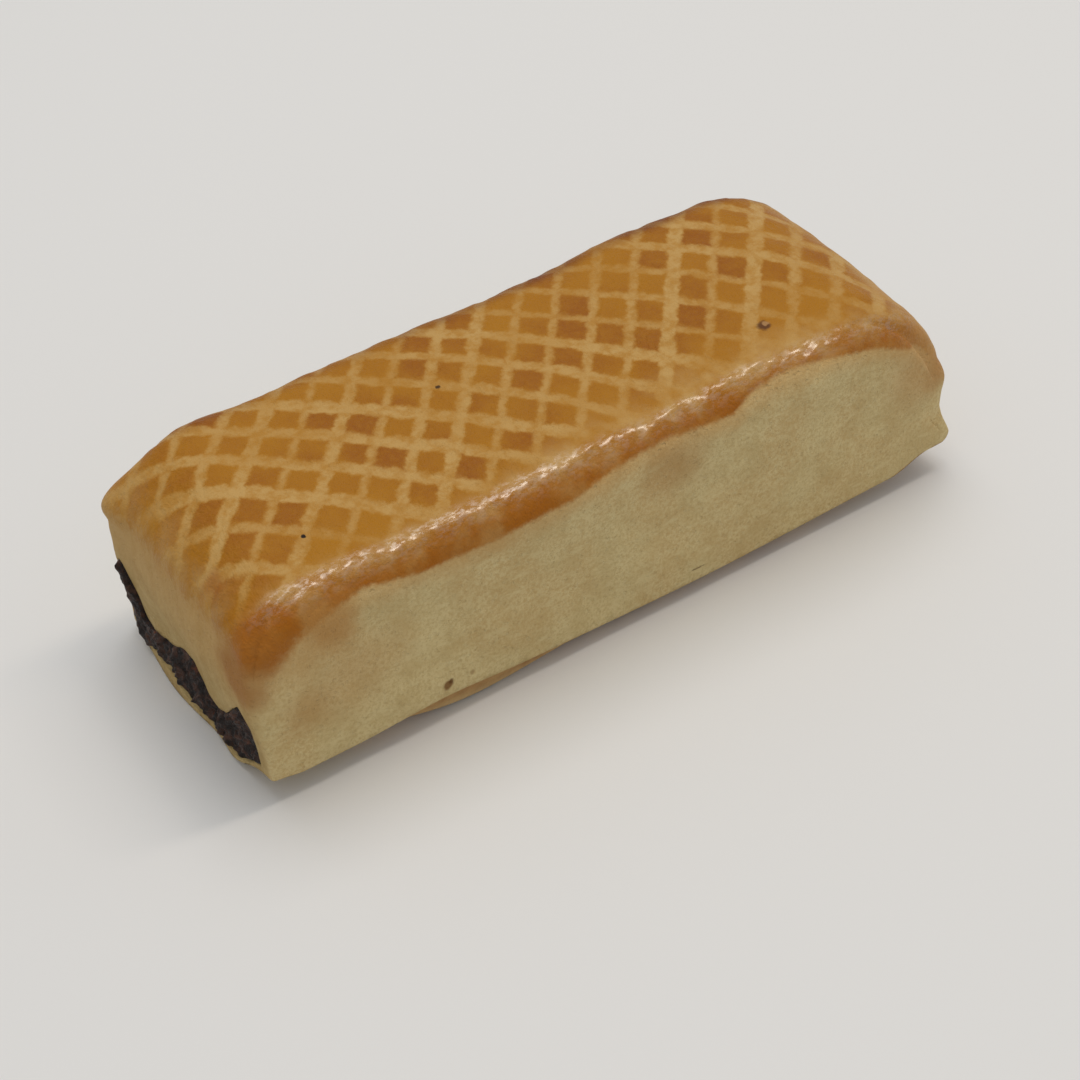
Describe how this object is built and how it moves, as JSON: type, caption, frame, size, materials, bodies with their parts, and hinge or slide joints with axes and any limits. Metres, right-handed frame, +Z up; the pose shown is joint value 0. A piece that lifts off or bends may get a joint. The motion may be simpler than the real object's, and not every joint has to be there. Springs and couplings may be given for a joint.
{
  "type": "pear bread",
  "caption": "Small bar of pear bread: a golden, fork-scored dough jacket draped over a dark dried-pear filling that shows at the open end, with pale unglazed sides",
  "frame": {"origin": "centre of the bar in plan, on the surface that it rests on", "axes": "+X along the bar towards its closed, draped end; -X is the open end where the filling shows; -Y is the pale side that was baked against a neighbour; +Z up"},
  "size_m": [0.1338, 0.0468, 0.0401],
  "materials": {
    "baked_dough": "egg-washed golden dough on top, pale and floury on the sides, browned below",
    "fruit_filling": "dark, coarse and slightly moist dried-pear filling"
  },
  "bodies": {
    "root": {"dough_jacket": "baked_dough", "pear_filling": "fruit_filling"}
  },
  "joints": []
}
